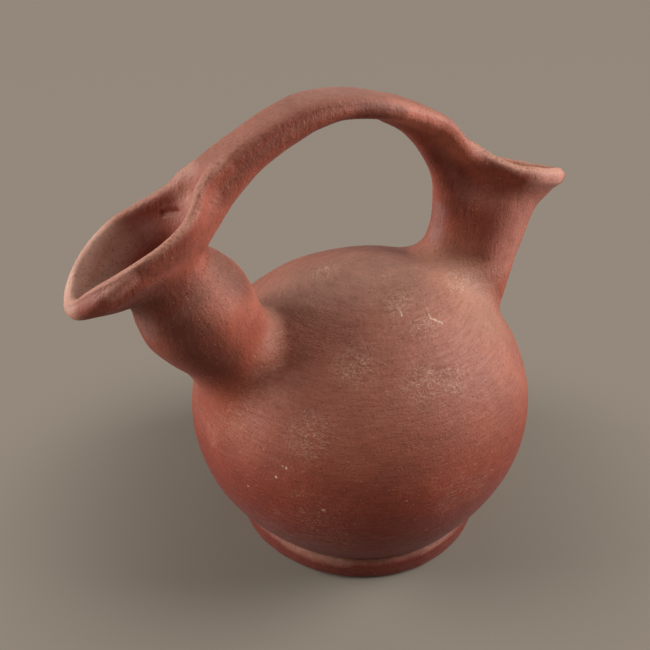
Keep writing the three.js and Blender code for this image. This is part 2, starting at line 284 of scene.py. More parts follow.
# its grooves: depth, place and half-width as angles round the section, the far one's share, and where along x they
# fade in and out, over what lengths
GROOVE_DEEP, GROOVE_TURN, GROOVE_WIDE, FAR_GROOVE = 1.3, 0.3, 0.3, 0.4
GROOVE_IN, GROOVE_IN_SOFT, GROOVE_OUT, GROOVE_OUT_SOFT = -84, 5, -12, 12
WEB_FLAT = 0.92
WEB = [(15, 242, 2.8), (24.5, 236, 4.3), (31.5, 230, 5.5), (37.5, 224, 6.3), (42.4, 218, 6.7), (46.6, 211.6, 6.8),
       (50.2, 204.6, 7.2), (53, 197, 7.4), (55.2, 187, 7.6), (56, 176, 7.7), (54, 163, 8), (48, 152, 8)]


def strap_frame():
    """The strap's middle line, its upward normals and its sizes, as samples by the run along it."""
    top, run = evenly(CREST, STRAP_SAMPLES)
    way = np.gradient(top, run[1], axis=0)
    way /= np.linalg.norm(way, axis=1)[:, None]
    rise = np.stack([-way[:, 1], way[:, 0]], 1)
    deep = STRAP_DEEP(top[:, 0])
    middle = top - rise * deep[:, None]
    return middle, run, np.column_stack([middle, rise, STRAP_WIDE(top[:, 0]), deep, STRAP_DISH(top[:, 0])])


STRAP_LINE, STRAP_RUN, STRAP_SIZES = strap_frame()
WEB_LINE, WEB_RUN = evenly(WEB, WEB_SAMPLES)


def strap_skin(x, y, z):
    """A flat-sided oval carried along the strap's middle line, with a dished top and a shallow groove
    that a finger left along each upper side."""
    place = nearest(np.stack([x, z], 1), STRAP_LINE, STRAP_RUN)
    cx, cz, ux, uz, wide, deep, dish = (np.interp(place, STRAP_RUN, column) for column in STRAP_SIZES.T)
    above = (x - cx) * ux + (z - cz) * uz
    past = (x - cx) * uz - (z - cz) * ux
    above = above + dish * np.exp(-(y / DISH_WIDE) ** 2) / (1 + np.exp(-above / DISH_SOFT))
    across, up = np.abs(y) / wide, np.abs(above) / deep
    size = (across ** STRAP_POWER + up ** STRAP_POWER) ** (1 / STRAP_POWER)
    skin = (size - 1) * np.hypot(y, above) / np.maximum(size, 1e-6)
    turn = np.arctan2(above / deep, across)
    grooved = 1 / (1 + np.exp((cx - GROOVE_OUT) / GROOVE_OUT_SOFT)) / (1 + np.exp(-(cx - GROOVE_IN) / GROOVE_IN_SOFT))
    grooved *= np.where(y < 0, 1, FAR_GROOVE)
    skin = skin + GROOVE_DEEP * grooved * np.exp(-((turn - GROOVE_TURN) / GROOVE_WIDE) ** 2)
    beyond = (place <= 0) | (place >= STRAP_RUN[-1])
    return np.where(beyond, np.hypot(np.maximum(skin, 0), past), skin)


def web_skin(x, y, z):
    """A rod of changing radius, a little wider than deep, carried along the web's line."""
    place = nearest(np.stack([x, z], 1), WEB_LINE[:, :2], WEB_RUN)
    cx, cz, radius = (np.interp(place, WEB_RUN, column) for column in WEB_LINE.T)
    return np.sqrt((x - cx) ** 2 + (z - cz) ** 2 + (WEB_FLAT * y) ** 2) - radius


def on_axis(spout, x, z):
    """Height along a spout's axis and the distance out from it away from the body."""
    sine, cosine = spout["side"] * math.sin(spout["lean"]), math.cos(spout["lean"])
    dx, dz = x - spout["centre"][0], z - spout["centre"][1]
    return dx * sine + dz * cosine, spout["side"] * (dx * cosine - dz * sine)


def flared(height, out, y, sizes, point):
    """Distance to a flared tube: in each section an egg of two half-lengths and a half-width, drawn to
    points away from the body and toward it, and divided by the slant of its wall."""
    away = out > 0
    long = np.where(away, sizes[0](height), sizes[1](height))
    side = sizes[2](height)
    power = 2.0 - np.where(away, point[0], point[1])
    u, v = np.abs(out) / long, np.abs(y) / side
    scale = (u ** power + v ** power) ** (1 / power)
    grow = [size(height + 0.5) - size(height - 0.5) for size in sizes]
    grow_long, grow_side = np.where(away, grow[0], grow[1]), grow[2]
    share = u * u / np.maximum(u * u + v * v, 1e-9)
    slant = share * grow_long + (1 - share) * grow_side
    return (scale - 1) * np.hypot(out, y) / np.maximum(scale, 1e-6) / np.sqrt(1 + slant * slant)


# Height above the waist over which a mouth's sections are drawn to their points
POINT_RAMP = 20


def spout_skins(spout, x, y, z):
    """Outer skin of a neck and its mouth, cut off below the rim's top, and the inner skin."""
    height, out = on_axis(spout, x, z)
    out = out - spout["shift"](height)
    ramp = np.clip((height - spout["waist"]) / POINT_RAMP, 0, 1)
    outer = flared(height, out, y, spout["outer"], [share * ramp for share in spout["outer_points"]])
    inner = flared(height, out, y, spout["inner"], [share * ramp for share in spout["inner_points"]])
    slope = spout["top"](x + 0.5) - spout["top"](x - 0.5)
    above = (z - spout["top"](x) - spout["roll"] * y + LIP_CUT) / np.sqrt(1 + slope * slope)
    return outer, inner, above


def bead_skin(spout, x, y, z):
    """A round rod of changing radius carried along the lip's line."""
    line, run, radius = spout["line"]
    points = np.stack([x, y, z], 1)
    place = nearest(points, line, run)
    middle = np.stack([np.interp(place, run, line[:, i]) for i in range(3)], 1)
    return np.linalg.norm(points - middle, axis=1) - np.interp(place, run, radius)


# Crease that a finger left inside the left mouth, under the root of the strap: two ends and a radius
CREASE = np.array(((-98.0, 16.5, 205.0), (-93.0, 11.6, 206.7)))
CREASE_WIDE = 0.9


def crease_skin(x, y, z):
    """A short round rod laid along the crease."""
    points, span = np.stack([x, y, z], 1) - CREASE[0], CREASE[1] - CREASE[0]
    share = np.clip(points @ span / (span @ span), 0, 1)
    return np.linalg.norm(points - share[:, None] * span, axis=1) - CREASE_WIDE


# The lip's bead rises from the wall softly inside the mouth and with a crease outside: reach of its
# fillet by the distance from the inner skin
BEAD_REACH = curve((-2, 7), (2, 7), (4.5, 3.5), (6, 3.5))

# Fillets and rounded edges, as the reach of their blend, and the boxes that hold what they join
RIM_ROUND, BORE_FILLET, STRAP_FILLET, WEB_FILLET = 3.0, 6.0, 7.0, 11.0
EDGE_ROUND, CREASE_ROUND = 2.5, 2.0
STRAP_BOX = ((-104, -30, 190), (92, 30, 262))
WEB_BOX = ((-10, -26, 140), (75, 26, 256))
CREASE_ROOM, LIP_ROOM = 8, 9


def within(x, y, z, low, high):
    """Indices of the points inside a box."""
    return np.flatnonzero((x > low[0]) & (x < high[0]) & (y > low[1]) & (y < high[1]) & (z > low[2]) & (z < high[2]))


def clay(x, y, z):
    """Distance to the skin of the whole bottle, below zero in the clay."""
    uneven = hand(x, y, z)
    body = body_skin(x, y, z) - uneven
    skin = body.copy()
    hollow = body + WALL + INNER_SWELL * uneven
    for spout in SPOUTS:
        m = within(x, y, z, *spout["box"])
        outer, inner, above = spout_skins(spout, x[m], y[m], z[m])
        outer = carve(outer - uneven[m], -above, RIM_ROUND)
        reach = spout["fillet"](on_axis(spout, x[m], z[m])[1])
        skin[m] = meet(skin[m], outer, reach)
        hollow[m] = meet(hollow[m], inner, BORE_FILLET)
    m = within(x, y, z, *STRAP_BOX)
    skin[m] = meet(skin[m], strap_skin(x[m], y[m], z[m]) - STRAP_SWELL * uneven[m], STRAP_FILLET)
    m = within(x, y, z, *WEB_BOX)
    skin[m] = meet(skin[m], web_skin(x[m], y[m], z[m]), WEB_FILLET)
    skin = carve(skin, hollow, EDGE_ROUND)
    m = within(x, y, z, CREASE.min(0) - CREASE_ROOM, CREASE.max(0) + CREASE_ROOM)
    skin[m] = carve(skin[m], crease_skin(x[m], y[m], z[m]), CREASE_ROUND)
    for spout in SPOUTS:
        line = spout["line"][0]
        m = within(x, y, z, line.min(0) - LIP_ROOM, line.max(0) + LIP_ROOM)
        inner = spout_skins(spout, x[m], y[m], z[m])[1]
        skin[m] = meet(skin[m], bead_skin(spout, x[m], y[m], z[m]), BEAD_REACH(inner))
    return skin


# Members: air, the pieces below and the bowl
AIR, DOME, NECK_L, MOUTH_L, NECK_R, MOUTH_R, HANDLE, BOWL = range(8)
PIECES = {
    DOME: ("body_dome", "dome_clay"),
    NECK_L: ("neck_left", "neck_clay"),
    MOUTH_L: ("mouth_left", "mouth_clay"),
    NECK_R: ("neck_right", "neck_clay"),
    MOUTH_R: ("mouth_right", "mouth_clay"),
    HANDLE: ("bridge_handle", "handle_clay"),
}
# Low down, the right neck runs on into the side of the dome, and a level cut meets the skin squarely there
RIGHT_NECK_FOOT = 126.2
# The handle lies above a height, clear of the body and down to a little under the right neck's waist. A leaning
# plane ends each root: x and z of a point on it, and its change of x by height.
ROOT_FROM, ROOT_CLEAR, UNDER_WAIST = 193, 20, 2
LEFT_ROOT, RIGHT_ROOT = (-86, 196, 3 / 35), (60, 195, -0.15)


def member(x, y, z):
    """The piece that each point of the clay belongs to: a neck and its mouth part at the waist, the handle ends at a
    plane across each root, and a neck ends in the fillet that joins it to the dome."""
    body = body_skin(x, y, z)
    label = np.full(x.shape, DOME, np.int8)
    for spout, neck, mouth, side in ((LEFT, NECK_L, MOUTH_L, x < 0), (RIGHT, NECK_R, MOUTH_R, x > 0)):
        height, out = on_axis(spout, x, z)
        raised = side & (body > np.maximum(0, np.hypot(out, y) - spout["outer"][2](height)))
        raised &= (x < 0) | (z > RIGHT_NECK_FOOT)
        label[raised & (height <= spout["waist"])] = neck
        label[raised & (height > spout["waist"])] = mouth
    left, right = (root_x + (z - root_z) * lean for root_x, root_z, lean in (LEFT_ROOT, RIGHT_ROOT))
    arch = (x > left) & (x < right) & (z > ROOT_FROM) & (body > ROOT_CLEAR)
    over_neck = on_axis(RIGHT, x, z)[0] > RIGHT["waist"] - UNDER_WAIST
    label[arch & ((x < 0) | over_neck)] = HANDLE
    label[z < BELLY] = BOWL
    return label


# Meshes. At this step of the lattice the dome stays under 200,000 triangles. The lattice is filled slab by slab.
STEP = 1.28
LOW = (-157.0, -103.0, BELLY - 2.5 * STEP)
HIGH = (131.0, 103.0, 259.0)
SLAB = 12
# Distance to each side over which a slope is measured, farthest that a point moves at a time, and least square of
# a slope
SLOPE_REACH, MOVE_MOST, LEAST_SQUARE = 0.35, 1.2, 0.05


def gradient(points, skin=clay):
    """Slope of a skin's distance at each point, by differences to both sides."""
    slopes = np.empty_like(points)
    for i in range(3):
        offset = np.zeros(3)
        offset[i] = SLOPE_REACH
        slopes[:, i] = (skin(*(points + offset).T) - skin(*(points - offset).T)) / (2 * SLOPE_REACH)
    return slopes


def settle(points, rounds=2):
    """Moves points along the slope onto the skin."""
    for _ in range(rounds):
        slope = gradient(points)
        gap = np.clip(clay(*points.T), -MOVE_MOST, MOVE_MOST)
        points = points - gap[:, None] * slope / np.maximum((slope * slope).sum(1), LEAST_SQUARE)[:, None]
    return points


def skin_net():
    """One point in each cell of a lattice whose corners lie in different members or in air, at the mean of the
    places where its edges cross from one to another, and one quad across each edge whose two ends differ.
    Members share the points where they meet, so that each is closed and no gap shows between them."""
    axes = [np.arange(low, high, STEP) for low, high in zip(LOW, HIGH)]
    field = np.empty([len(axis) for axis in axes], np.float32)
    for first in range(0, len(axes[0]), SLAB):
        x, y, z = np.meshgrid(axes[0][first:first + SLAB], axes[1], axes[2], indexing="ij")
        field[first:first + SLAB] = clay(x.ravel(), y.ravel(), z.ravel()).reshape(x.shape)
    label = np.zeros(field.shape, np.int8)
    inside = np.nonzero(field < 0)
    label[inside] = member(*(axis[i] for axis, i in zip(axes, inside)))
    # a member one lattice step thick at the skin, over another member, goes to that one, as a thin wedge shades black
    for _ in range(2):
        for way, side in ((0, -1), (0, 1), (1, -1), (1, 1), (2, -1), (2, 1)):
            ahead, behind = np.roll(label, -side, way), np.roll(label, side, way)
            thin = (label != AIR) & (ahead == AIR) & (behind != AIR) & (behind != label)
            label[thin] = behind[thin]
    ends = (slice(0, -1), slice(1, None))
    corners = [(i, j, k) for i in (0, 1) for j in (0, 1) for k in (0, 1)]
    lowest = label[:-1, :-1, :-1]
    mixed = np.zeros(lowest.shape, bool)
    for i, j, k in corners:
        mixed |= label[ends[i], ends[j], ends[k]] != lowest
    cells = np.nonzero(mixed)
    count = len(cells[0])
    number = np.full(lowest.shape, -1, np.int32)
    number[cells] = np.arange(count)
    # sums of crossings into air, in row 0, and from member to member, in row 1
    sums, hits = np.zeros((2, count, 3)), np.zeros((2, count))
    seam = np.zeros(count, bool)
    for corner in corners:
        for way in range(3):
            if corner[way]:
                continue
            here = tuple(cells[i] + corner[i] for i in range(3))
            there = tuple(here[i] + (i == way) for i in range(3))
            airy = (label[here] == AIR) != (label[there] == AIR)
            inner = (label[here] != label[there]) & ~airy
            least, most = np.minimum(label[here], label[there]), np.maximum(label[here], label[there])
            seam |= inner & (least == DOME) & (most == BOWL)
            place = np.stack([axes[i][here[i]] for i in range(3)], 1)
            share = np.where(airy, field[here] / np.where(airy, field[here] - field[there], 1), 0.5)
            place[:, way] += share * STEP
            for row, chosen in enumerate((airy, inner)):
                sums[row][chosen] += place[chosen]
                hits[row][chosen] += 1
    # points of the skin settle on it, and those of the seam between dome and bowl stay at the belly as well
    on_skin = hits[0] > 0
    row = np.where(on_skin, 0, 1)
    points = sums[row, np.arange(count)] / np.maximum(hits[row, np.arange(count)], 1)[:, None]
    points[on_skin] = settle(points[on_skin])
    ring = seam & on_skin
    for _ in range(3):
        points[ring, 2] = BELLY
        slope = gradient(points[ring]) * (1, 1, 0)
        steep = np.maximum((slope * slope).sum(1), LEAST_SQUARE)[:, None]
        points[ring] -= clay(*points[ring].T)[:, None] * slope / steep
    points[seam, 2] = BELLY
    # quads round each edge from one member to another, with the members at its lower and its higher end
    quads, below, above = [], [], []
    for way in range(3):
        first, last = [slice(None)] * 3, [slice(None)] * 3
        first[way], last[way] = ends
        low, high = label[tuple(first)], label[tuple(last)]
        u, v = ((1, 2), (2, 0), (0, 1))[way]
        edge = np.nonzero(low != high)
        clear = (edge[u] > 0) & (edge[v] > 0) & (edge[u] < lowest.shape[u]) & (edge[v] < lowest.shape[v])
        edge = [i[clear] for i in edge]
        around = []
        for du, dv in ((1, 1), (0, 1), (0, 0), (1, 0)):
            cell = list(edge)
            cell[u], cell[v] = edge[u] - du, edge[v] - dv
            around.append(number[tuple(cell)])
        quads.append(np.stack(around, 1))
        below.append(low[tuple(edge)])
        above.append(high[tuple(edge)])
    return points, np.vstack(quads), np.concatenate(below), np.concatenate(above)


def face_normals(points, quads):
    """Unit normals of quads, across their diagonals."""
    normals = np.cross(points[quads[:, 2]] - points[quads[:, 0]], points[quads[:, 3]] - points[quads[:, 1]])
    return normals / np.maximum(np.linalg.norm(normals, axis=1), 1e-12)[:, None]


def make_mesh(name, points, quads, corner_normals=None, triangles=()):
    """A mesh object of quads, and triangles after them, in metres, smooth, with the given normals at the corners."""
    mesh = bpy.data.meshes.new(name)
    mesh.vertices.add(len(points))
    mesh.vertices.foreach_set("co", (points * MM).astype(np.float32).ravel())
    corners = np.concatenate([quads.ravel(), np.ravel(triangles)]).astype(np.int32)
    starts = np.concatenate([np.arange(len(quads)) * 4, quads.size + np.arange(len(triangles)) * 3]).astype(np.int32)
    mesh.loops.add(len(corners))
    mesh.loops.foreach_set("vertex_index", corners)
    mesh.polygons.add(len(starts))
    mesh.polygons.foreach_set("loop_start", starts)
    mesh.update(calc_edges=True)
    mesh.shade_smooth()
    if corner_normals is not None:
        mesh.normals_split_custom_set(corner_normals.reshape(-1, 3).astype(np.float32))
    made = bpy.data.objects.new(name, mesh)
    bpy.context.scene.collection.objects.link(made)
    return made


def dress(piece, node):
    """The piece rides on the one body, in place of its node of the CAD model."""
    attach(piece, "root")
    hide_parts(node)


# How far off its bead a lip's rubbing fades out, and the rise above the body over which strokes turn upright
LIP_RUB = 5.0
RISE = 12.0


def lip_share(points):
    """How close each point is to a lip's bead: 1 on it, falling to 0 at a few millimetres off."""
    off = np.minimum(bead_skin(LEFT, *points.T), bead_skin(RIGHT, *points.T))
    return np.clip(1 - off / LIP_RUB, 0, 1)


def upper_members():
    """The dome, necks, mouths and handle, cut from one net, with normals from the slope of the distance."""
    points, quads, below, above = skin_net()
    outward = np.zeros_like(points)
    bare = np.unique(quads[(below == AIR) | (above == AIR)])
    slope = gradient(points[bare])
    outward[bare] = slope / np.maximum(np.linalg.norm(slope, axis=1), 1e-9)[:, None]
    made = {}
    for label, (node, slot) in PIECES.items():
        mine, turned = below == label, above == label
        faces = np.vstack([quads[mine], quads[turned][:, ::-1]])
        other = np.concatenate([above[mine], below[turned]])
        normals = outward[faces]
        inner = other != AIR
        normals[inner] = face_normals(points, faces[inner])[:, None, :]
        used, renumbered = np.unique(faces, return_inverse=True)
        made[node] = make_mesh(node + "_luted", points[used], renumbered.reshape(faces.shape), normals)
        raised = np.clip(body_skin(*points[used].T) / RISE, 0, 1)
        for name, share in (("lip", lip_share(points[used])), ("raised", raised)):
            attribute = made[node].data.attributes.new(name, "FLOAT", "POINT")
            attribute.data.foreach_set("value", share.astype(np.float32))
        dress(made[node], node)
    return made


# Bowl: turns and rows of its grid, height of its lower end on the slab, and the reach of its skin there
BOWL_TURNS, BOWL_ROWS = 360, 56
HEEL, HEEL_REACH = 14.0, 97.0


def bowl_reach(direction, inset):
    """Reach of the body's skin, moved in by an inset, from the middle of the belly along unit directions."""
    reach = np.polyval(BODY_REACH, direction[..., 2]) - inset
    for _ in range(3):
        x, y, z = (direction * reach[..., None]).reshape(-1, 3).T
        uneven = hand(x, y, z + BELLY).reshape(reach.shape)
        reach = np.polyval(BODY_REACH, direction[..., 2]) + uneven * (1 if inset == 0 else INNER_SWELL) - inset
    return reach


def bowl_skin(inset):
    """Grid by turn about the axis and by angle below the belly: the middle of the belly plus the body's reach along
    each direction, down to where that reach meets the slab."""
    turn = np.linspace(0, 2 * np.pi, BOWL_TURNS, endpoint=False)
    heel = math.asin((BELLY - HEEL) / (HEEL_REACH - inset))
    dip = np.linspace(0, -heel, BOWL_ROWS)
    direction = np.stack([
        np.cos(dip)[:, None] * np.cos(turn), np.cos(dip)[:, None] * np.sin(turn),
        np.broadcast_to(np.sin(dip)[:, None], (BOWL_ROWS, BOWL_TURNS)),
    ], -1)
    points = direction * bowl_reach(direction, inset)[..., None]
    points[..., 2] += BELLY
    points[-1, :, 2] = HEEL
    points[..., :2] += BODY_LEAN(points[..., 2])[..., None] * LEAN_WAY
    return points


def bowl():
    """Outer and inner skin as one grid that closes on itself, through a level rim at the belly and a level heel."""
    outer, inner = bowl_skin(0), bowl_skin(WALL)[::-1]
    grid = np.concatenate([outer, inner])
    rows = len(grid)
    row, turn = np.meshgrid(np.arange(rows), np.arange(BOWL_TURNS), indexing="ij")
    this, below, on = row * BOWL_TURNS, (row + 1) % rows * BOWL_TURNS, (turn + 1) % BOWL_TURNS
    quads = np.stack([this + turn, below + turn, below + on, this + on], -1).reshape(-1, 4)
    points = grid.reshape(-1, 3)
    slope = gradient(points, lambda x, y, z: body_skin(x, y, z) - hand(x, y, z))
    slope /= np.linalg.norm(slope, axis=1)[:, None]
    slope[len(outer) * BOWL_TURNS:] *= -1
    normals = slope[quads]
    level = np.isin(quads[:, 0] // BOWL_TURNS, (BOWL_ROWS - 1, rows - 1))
    normals[level] = face_normals(points, quads[level])[:, None, :]
    made = make_mesh("body_bowl_turned", points, quads, normals)
    dress(made, "body_bowl")
    return made


# Foot: size, rounding of its edge, steps of the rounding and of each flat, and the flats' innermost ring. The edge
# is uneven by waves: their height and number, and how many go round the foot at least and below what.
FOOT_RADIUS, FOOT_HEIGHT, FOOT_ROUND = 77.6, 14.0, 3.4
EDGE_STEPS, FLAT_STEPS, FLAT_FROM = 17, 16, 4
CHIP_SIZE, CHIPS, CHIP_LEAST, CHIP_BELOW = 0.03, 9, 9, 40


def foot():
    """A flat slab turned about the axis: level underside, rounded edge and level top, its radius uneven by turn."""
    bend = np.linspace(-np.pi / 2, np.pi / 2, EDGE_STEPS)
    edge = FOOT_ROUND * np.cos(bend)
    height = np.where(bend < 0, FOOT_ROUND, FOOT_HEIGHT - FOOT_ROUND) + FOOT_ROUND * np.sin(bend)
    inner = np.linspace(FLAT_FROM, FOOT_RADIUS - FOOT_ROUND - 1, FLAT_STEPS)
    radius = np.concatenate([inner, FOOT_RADIUS - FOOT_ROUND + edge, inner[::-1]])
    level = np.concatenate([np.zeros(FLAT_STEPS), height, np.full(FLAT_STEPS, FOOT_HEIGHT)])
    turn = np.linspace(0, 2 * np.pi, BOWL_TURNS, endpoint=False)
    x, y = np.cos(turn), np.sin(turn)
    uneven = hand(FOOT_RADIUS * x, FOOT_RADIUS * y, np.zeros(BOWL_TURNS))
    draws = np.random.default_rng(5)
    for waves in draws.integers(CHIP_LEAST, CHIP_BELOW, CHIPS):
        uneven = uneven + CHIP_SIZE * np.sin(waves * turn + draws.uniform(0, 2 * np.pi))
    reach = radius[:, None] + uneven * (radius[:, None] / FOOT_RADIUS) ** 4
    points = np.stack([reach * x, reach * y, np.broadcast_to(level[:, None], reach.shape)], -1).reshape(-1, 3)
    points = np.vstack([points, (0, 0, 0), (0, 0, FOOT_HEIGHT)])
    points[:, :2] += np.array(LEAN_WAY) * BODY_LEAN(0)
    row, step = np.meshgrid(np.arange(len(radius) - 1), np.arange(BOWL_TURNS), indexing="ij")
    this, above, on = row * BOWL_TURNS, (row + 1) * BOWL_TURNS, (step + 1) % BOWL_TURNS
    quads = np.stack([this + step, this + on, above + on, above + step], -1)
    ring = np.arange(BOWL_TURNS)
    after, top, last = (ring + 1) % BOWL_TURNS, (len(radius) - 1) * BOWL_TURNS, len(points) - 1
    under = np.stack([np.full(BOWL_TURNS, last - 1), after, ring], 1)
    over = np.stack([np.full(BOWL_TURNS, last), top + ring, top + after], 1)
    made = make_mesh("foot_slab_pressed", points, quads.reshape(-1, 4), triangles=np.vstack([under, over]))
    dress(made, "foot_slab")
    return made


def srgb(text):
    """Linear colour of an sRGB hex value."""
    parts = [int(text[i:i + 2], 16) / 255 for i in (1, 3, 5)]
    return tuple(p / 12.92 if p <= 0.04045 else ((p + 0.055) / 1.055) ** 2.4 for p in parts) + (1.0,)


def add(tree, kind, inputs=None, stops=(), **settings):
    """Adds one shader node. Inputs are values, nodes or their sockets, by the name or the place of the input among
    those in use. A ramp's stops are places with colours."""
    made = tree.nodes.new("ShaderNode" + kind)
    for name, value in settings.items():
        setattr(made, name, value)
    sockets = [socket for socket in made.inputs if socket.enabled]
    for name, value in (inputs or {}).items():
        socket = sockets[name] if isinstance(name, int) else next(s for s in sockets if s.name == name)
        if isinstance(value, bpy.types.Node):
            value = next(s for s in value.outputs if s.enabled)
        if isinstance(value, bpy.types.NodeSocket):
            tree.links.new(value, socket)
        else:
            socket.default_value = value
    for i, (place, value) in enumerate(stops):
        element = made.color_ramp.elements[i] if i < 2 else made.color_ramp.elements.new(place)
        element.position, element.color = place, value
    return made


def near(tree, place, start, end, inner, outer):
    """1 within a distance in millimetres of the line between two points, falling smoothly to 0 at a longer one."""
    start, span = Vector(start) * MM, (Vector(end) - Vector(start)) * MM
    gap = add(tree, "VectorMath", {0: place, 1: start}, operation="SUBTRACT")
    along = add(tree, "VectorMath", {0: gap, 1: span / span.length_squared}, operation="DOT_PRODUCT")
    share = add(tree, "Clamp", {0: along})
    foot = add(tree, "VectorMath", {0: span, "Scale": share}, operation="SCALE")
    off = add(tree, "VectorMath", {0: gap, 1: foot}, operation="DISTANCE")
    return add(tree, "MapRange", {0: off, 1: inner * MM, 2: outer * MM, 3: 1.0, 4: 0.0},
               interpolation_type="SMOOTHSTEP")


# Fire clouds and stains, and patches of painted shade and painted light, in mm: start, end, full within, gone
# beyond, colour, share
STAINS_AND_PAINTED_LIGHT_AND_SHADE = (
    ((-34, 4, 154), (6, -14, 160), 6, 42, "#74574a", 0.55),
    ((54, -40, 142), (50, -20, 152), 4, 34, "#a9785e", 0.5),
    # darker on the near side of the left neck, low down
    ((-104, -28, 163), (-92, -27, 145), 4, 22, "#4b2218", 0.6),
    # painted shadow under the near side of the left mouth's flare
    ((-122, -20, 186), (-98, -26, 184), 3, 13, "#4b2218", 0.55),
    # painted shade in the hollow under the strap's right end and down the web (this line and the next)
    ((40, -8, 214), (50, -10, 192), 4, 15, "#431a10", 0.42),
    ((58, -17, 180), (55, -14, 168), 3, 16, "#5c2a1c", 0.12),
    # painted light on the far inner wall of the left mouth
    ((-140, 8, 182), (-127, 19, 194), 3, 18, "#e3b5a0", 0.95),
    # painted light over the shaded notch where the strap's top meets the left mouth's inside
    ((-90, 10, 217), (-86, 9, 224), 2, 10, "#d49a84", 0.55),
    # painted shade on the top of the left neck and in its fillet to the dome (this line and the next)
    ((-80, -8, 186), (-74, -13, 179), 3, 17, "#642a1b", 0.95),
    ((-72, -21, 155), (-62, -19, 146), 2, 14, "#7f3826", 0.5),
    # painted highlight on the near side of the left neck's bulb
    ((-120, -12, 169), (-119, -12, 164), 3, 11, "#ab7a6d", 0.5),
    # painted light on the near face of the strap where it falls to the right mouth
    ((40, -12, 229), (52, -14, 217), 2, 10, "#c06e56", 0.75),
    # painted light on the near face of the right neck
    ((86, -24, 186), (80, -24, 160), 4, 20, "#c58372", 0.5),
    # rubbed lip, and painted light, at the near side of the right mouth's lip
    ((88, -30, 203), (106, -26, 201), 2, 9, "#d69a88", 0.6),
    ((-40, -4, 254), (-5, -6, 256), 3, 16, "#7c3a2a", 0.6),
    ((47, -1, 185), (47, -1, 172), 2, 9, "#8d6660", 0.6),
    # painted light on the near face of the strap's right half
    ((10, -13, 246), (32, -13, 236), 2, 9, "#cf7c66", 0.8),
    ((-118, -29, 201), (-98, -28, 205), 3, 9, "#5a2a1c", 0.45),
    # painted shade, then painted light, inside the left mouth (this line and the next)
    ((-112, 16, 185), (-104, 16, 190), 3, 10, "#5a2c22", 0.1),
    ((-122, 20, 192), (-110, 19, 196), 3, 12, "#b58475", 0.5),
    ((-149, 1, 176), (-146, -9, 177), 2, 9, "#cda08a", 0.55),
    ((-134, -26, 192), (-125, -27.5, 198), 2, 5, "#c98a76", 0.5),
    # painted shadow under the near side of the left mouth's flare
    ((-134, -24, 172), (-98, -28, 188), 4, 11, "#5a2a1c", 0.3),
    ((-70, -38, 13), (-42, -66, 13), 2, 5, "#a5705c", 0.45),
    ((-8, -14.3, 247.5), (12, -13.8, 245.6), 1, 6, "#5a281b", 0.6),
)
# Scuffed patches, where pale dust has filled a web of fine scratches: centre and reach
SCUFFS = (
    ((-34.5, -54.9, 140.4), 17), ((5.6, -52.3, 149.9), 11), ((-7.4, -74.1, 133.4), 17), ((-0.4, -37, 156), 11),
    ((8, -75.5, 132.5), 14), ((-62, -63, 114), 18), ((41, -29, 152), 12), ((-20, 8, 158), 14), ((-75, 62, 118), 18),
    ((40, 75, 120), 18), ((80, 20, 120), 16), ((-10, 60, 148), 14),
)
# Single scratches and spots of lime: start, end and half-width
SCRATCHES = (
    ((37.0, -26.6, 154.6), (45.9, -31.5, 149.9), 0.3), ((36.7, -29.0, 154.1), (44.1, -33.0, 149.9), 0.22),
    ((14.1, -42.6, 153.9), (12.8, -48.4, 151.5), 0.35), ((12.8, -48.4, 151.5), (17.8, -52.1, 149.2), 0.45),
    ((1.5, -32.8, 157.4), (-0.6, -43.3, 153.7), 0.4), ((-50.0, -73.3, 114.7), (-50.4, -77.3, 108.0), 0.22),
    ((13.8, -3.2, 161.4), (13.3, -10.4, 161.2), 0.3), ((-78.2, -58.2, 91.2), (-78.0, -58.3, 91.0), 0.5),
    ((-73.8, -61.0, 97.8), (-73.7, -61.1, 97.4), 0.4), ((-75.1, -59.2, 98.1), (-74.9, -59.4, 97.9), 0.3),
    ((-62.0, -77.1, 78.6), (-61.4, -77.5, 78.6), 0.5), ((-88.6, -44.9, 77.7), (-88.3, -45.2, 77.9), 0.35),
    ((-26.5, -95.4, 85.1), (-26.2, -95.5, 85.1), 0.35), ((-12.8, -95.8, 57.6), (-12.5, -95.9, 57.9), 0.35),
)


